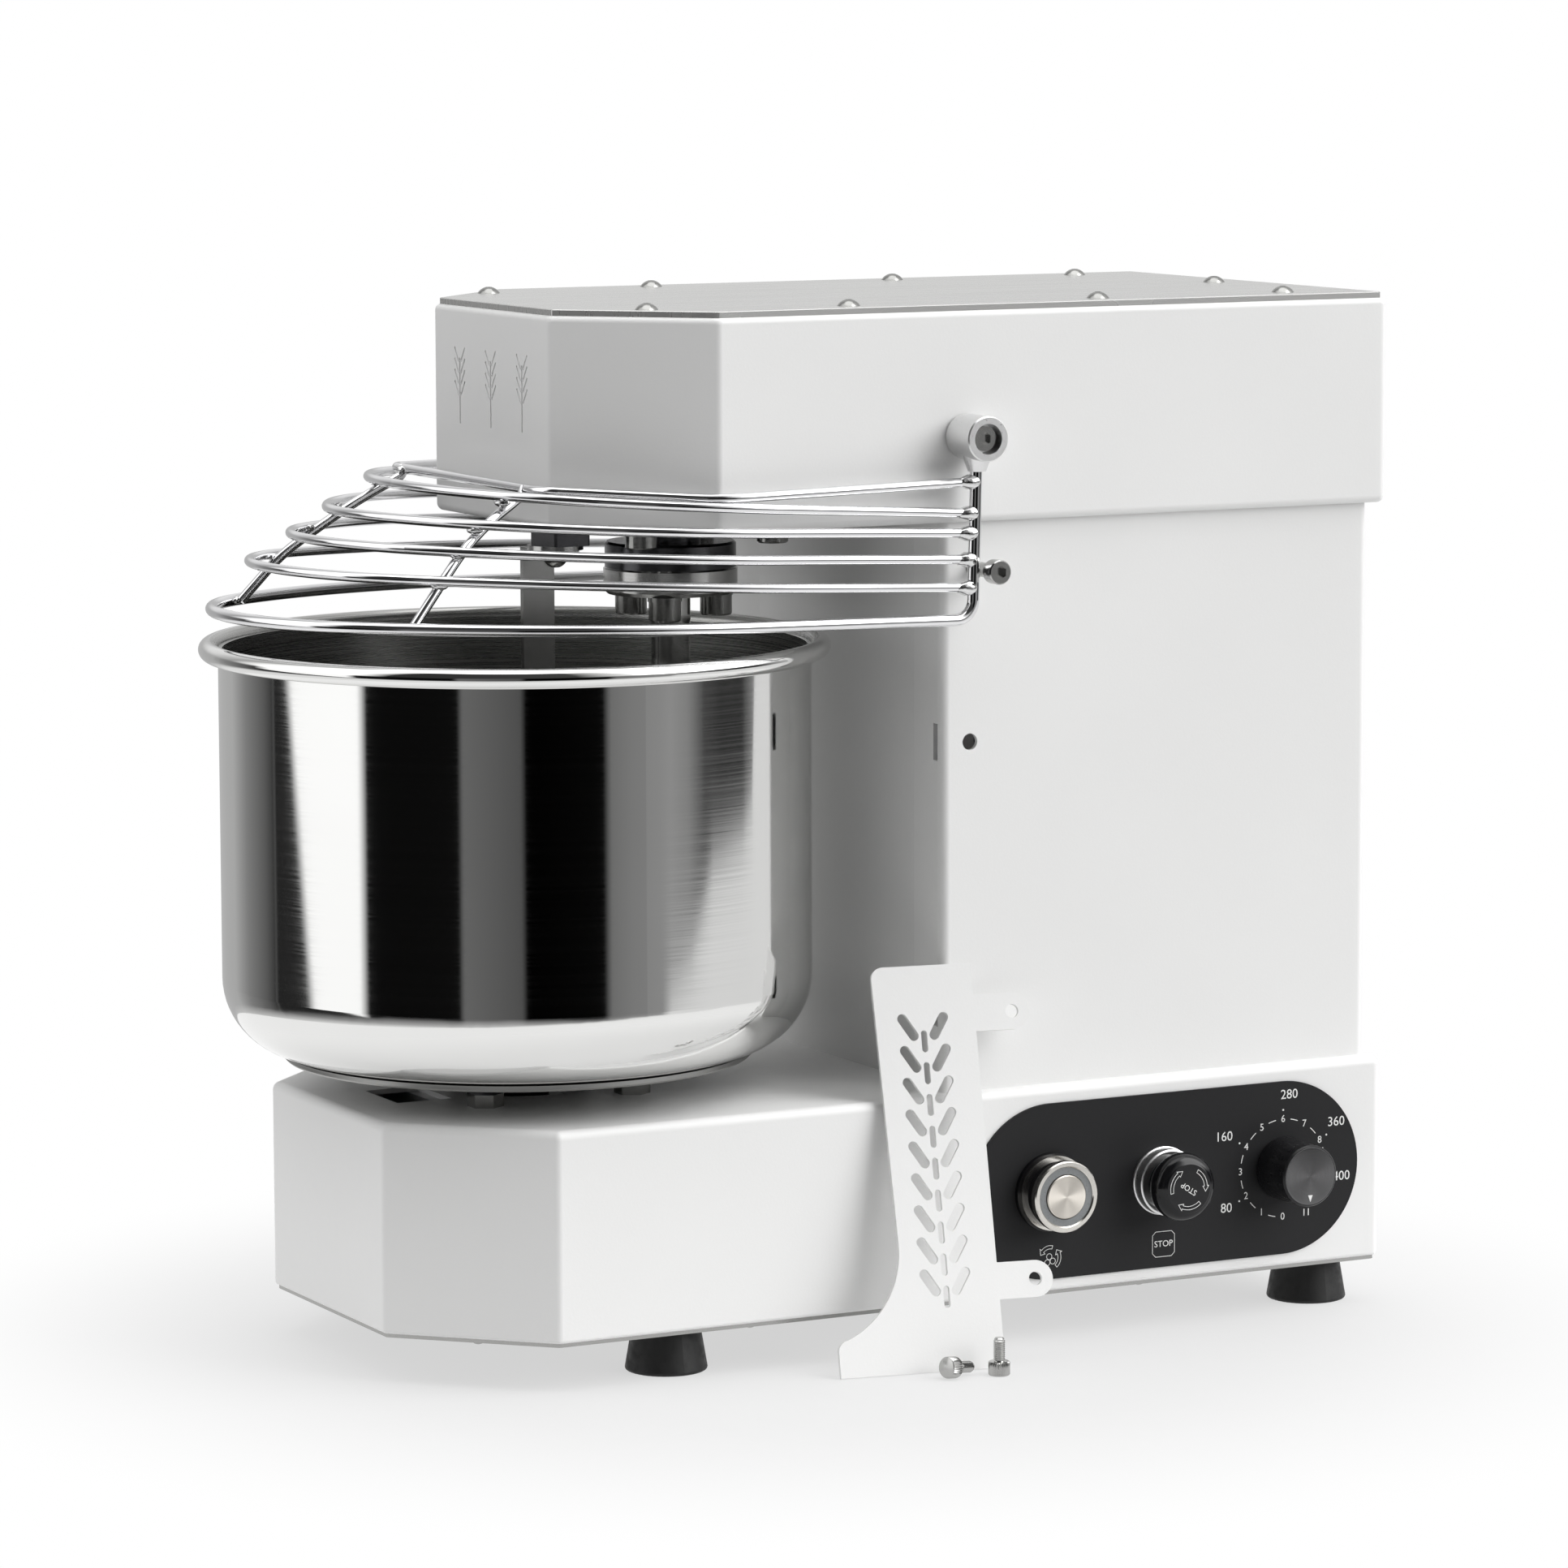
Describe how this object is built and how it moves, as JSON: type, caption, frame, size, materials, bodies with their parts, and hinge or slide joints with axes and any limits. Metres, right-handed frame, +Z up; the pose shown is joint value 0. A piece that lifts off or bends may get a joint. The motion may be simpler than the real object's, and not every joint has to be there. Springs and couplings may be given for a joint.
{
  "type": "spiral dough mixer",
  "caption": "Bench-top spiral dough mixer with a turning bowl, hinged wire guard, breaker bar, a side control panel and its loose side guard plate.",
  "frame": {"origin": "on the floor, on the machine's centre plane, midway between the front and rear feet", "axes": "+Z up, +Y to the rear (the bowl is at -Y), +X to the operator's right, where the control panel is"},
  "size_m": [0.2909, 0.4844, 0.4306],
  "materials": {
    "powder_white": "fine textured satin powder coat",
    "brushed_steel": "brushed",
    "polished_steel": "polished",
    "wire_chrome": "bright chrome plate",
    "zinc_steel": "bright zinc plate",
    "plain_steel": "turned",
    "black_oxide": "black oxide, satin",
    "aluminium": "machined",
    "motor_paint": "satin",
    "rubber_black": "matte",
    "panel_black": "matte film",
    "plastic_black": "satin",
    "light_ring": "translucent grey",
    "knob_black": "satin"
  },
  "bodies": {
    "machine": {"base_shell": "powder_white", "column_shell": "powder_white", "head_shell": "powder_white", "rear_cover": "powder_white", "base_cover": "plain_steel", "bearings": "plain_steel", "spindle_backing_plate": "plain_steel", "breaker_bar": "plain_steel", "motor_bracket": "plain_steel", "head_lid": "brushed_steel", "breaker_screw": "brushed_steel", "casing_screws": "zinc_steel", "lid_screws": "zinc_steel", "bowl_housing_bolts": "zinc_steel", "guard_pivot_screws": "zinc_steel", "guard_stop_screws": "zinc_steel", "start_button_rings": "wire_chrome", "spindle_housing": "black_oxide", "spindle_housing_screws": "black_oxide", "breaker_block": "black_oxide", "drive_screws": "black_oxide", "bowl_bearing_housing": "aluminium", "jackshaft_housing": "aluminium", "motor_housing": "motor_paint", "rubber_feet": "rubber_black", "drive_belts": "rubber_black", "control_plate": "panel_black", "start_button_body": "plastic_black", "estop_body": "plastic_black", "speed_controller": "plastic_black", "power_inlet": "plastic_black", "speed_potentiometer": "plastic_black", "start_button_light_ring": "light_ring"},
    "bowl": {"bowl": "polished_steel", "bowl_carrier": "plain_steel", "bowl_shaft": "black_oxide", "bowl_pulley": "aluminium"},
    "hook": {"spindle": "black_oxide", "hook_screws": "black_oxide", "spindle_pulley": "aluminium", "hook_flange": "polished_steel", "hook_spiral": "polished_steel"},
    "jackshaft": {"jackshaft": "plain_steel", "jackshaft_pulleys": "aluminium"},
    "motor_rotor": {"motor_shaft": "plain_steel", "motor_pulleys": "aluminium"},
    "guard": {"guard_frame": "wire_chrome", "guard_loop_2": "wire_chrome", "guard_loop_3": "wire_chrome", "guard_loop_4": "wire_chrome", "guard_loop_5": "wire_chrome", "guard_top_loop": "wire_chrome", "guard_cross_rods": "wire_chrome", "guard_hubs": "wire_chrome"},
    "start_button": {"start_button_cap": "zinc_steel"},
    "estop": {"estop_head": "plastic_black"},
    "speed_dial": {"speed_knob": "knob_black"},
    "side_plate": {"side_guard_plate": "powder_white"},
    "thumb_screw_a": {"thumb_screw_standing": "zinc_steel"},
    "thumb_screw_b": {"thumb_screw_lying": "zinc_steel"}
  },
  "joints": [
    {"name": "hook_spin", "type": "hinge", "parent": "machine", "child": "hook", "pos_m": [0, -0.107, 0.3], "axis": [0, 0, 1], "continuous": true},
    {"name": "bowl_spin", "type": "hinge", "parent": "machine", "child": "bowl", "pos_m": [0, -0.178, 0.1], "axis": [0, 0, 1], "continuous": true},
    {"name": "jackshaft_spin", "type": "hinge", "parent": "machine", "child": "jackshaft", "pos_m": [0, 0.01, 0.08], "axis": [0, 0, 1], "continuous": true},
    {"name": "motor_spin", "type": "hinge", "parent": "machine", "child": "motor_rotor", "pos_m": [0, 0.098, 0.2], "axis": [0, 0, 1], "continuous": true},
    {"name": "guard_lift", "type": "hinge", "parent": "machine", "child": "guard", "pos_m": [0, -0.0265, 0.375], "axis": [-1, 0, 0], "range_deg": [0, 75]},
    {"name": "start_press", "type": "slide", "parent": "machine", "child": "start_button", "axis": [-1, 0, 0], "range_m": [0, 0.0025], "stiffness_N_per_m": 600, "springref_m": -0.002},
    {"name": "estop_press", "type": "slide", "parent": "machine", "child": "estop", "axis": [-1, 0, 0], "range_m": [0, 0.004]},
    {"name": "speed_turn", "type": "hinge", "parent": "machine", "child": "speed_dial", "pos_m": [0.12, 0.1243, 0.0623], "axis": [-1, 0, 0], "range_deg": [0, 330]},
    {"name": "side_plate_lift", "type": "slide", "parent": "machine", "child": "side_plate", "axis": [0, 0, 1], "range_m": [0, 0.08]},
    {"name": "thumb_screw_a_lift", "type": "slide", "parent": "machine", "child": "thumb_screw_a", "axis": [0, 0, 1], "range_m": [0, 0.05]},
    {"name": "thumb_screw_b_lift", "type": "slide", "parent": "machine", "child": "thumb_screw_b", "axis": [0, 0, 1], "range_m": [0, 0.05]}
  ],
  "couplings": [
    {"joint": "bowl_spin", "follows": "hook_spin", "ratio": 0.11343},
    {"joint": "jackshaft_spin", "follows": "hook_spin", "ratio": 0.58333},
    {"joint": "motor_spin", "follows": "hook_spin", "ratio": 3.5}
  ]
}
